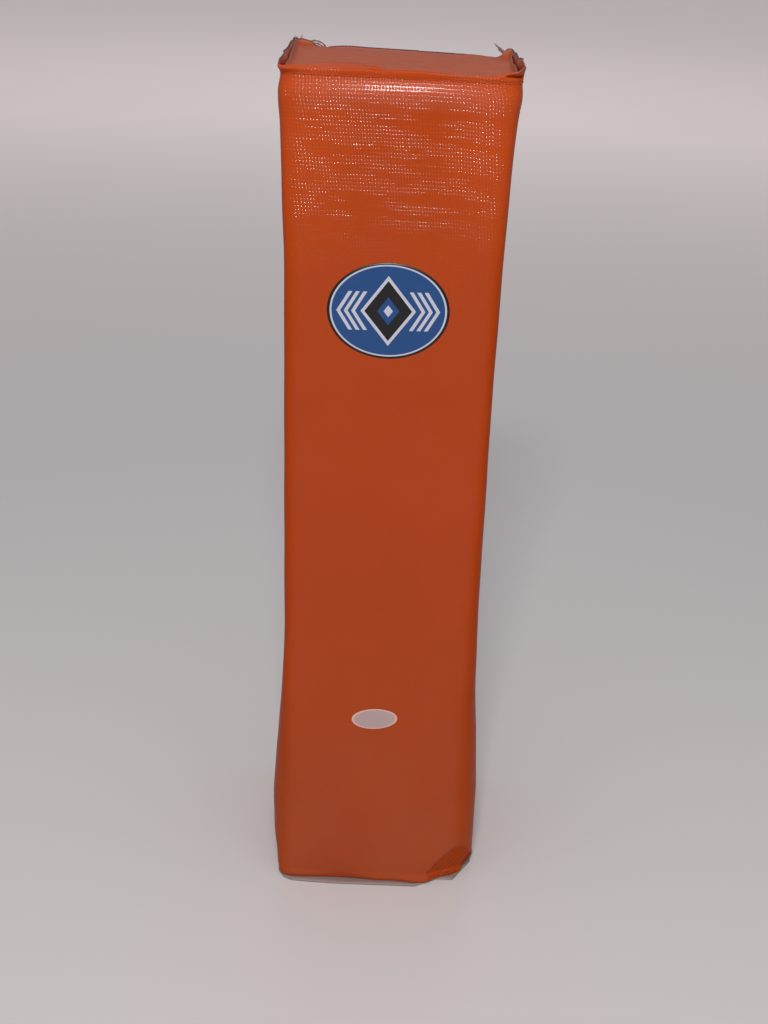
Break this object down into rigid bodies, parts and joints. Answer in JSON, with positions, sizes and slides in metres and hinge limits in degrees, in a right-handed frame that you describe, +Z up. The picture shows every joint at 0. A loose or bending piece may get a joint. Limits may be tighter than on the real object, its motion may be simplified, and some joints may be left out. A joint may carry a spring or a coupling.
{
  "type": "football end zone pylon",
  "caption": "Square upright field marker: a soft foam block in a sewn orange vinyl cover, with a weighted foot.",
  "frame": {"origin": "middle of the bounding box's underside, on the floor", "axes": "+Z up, the front face with the large oval decal looks towards -Y, +X is to the right as seen from the front"},
  "size_m": [0.1206, 0.126, 0.4627],
  "materials": {
    "orange_vinyl": "satin vinyl-coated cloth",
    "orange_top_vinyl": "satin vinyl-coated cloth",
    "grey_base_sheet": "matte sheet",
    "grey_foam": "open-cell foam",
    "pouch_cloth": "woven cloth",
    "sand": "dry loose sand",
    "orange_thread": "polyester sewing thread",
    "blue_film": "printed film",
    "white_film": "printed film"
  },
  "bodies": {
    "root": {"cover_wall": "orange_vinyl", "top_panel": "orange_top_vinyl", "base_sheet": "grey_base_sheet", "foam_core": "grey_foam", "ballast_pouch": "pouch_cloth", "ballast_pouch_top": "pouch_cloth", "ballast_sand": "sand", "top_seam_thread": "orange_thread", "back_seam_thread": "orange_thread", "front_decal": "blue_film", "small_sticker": "white_film"}
  },
  "joints": []
}
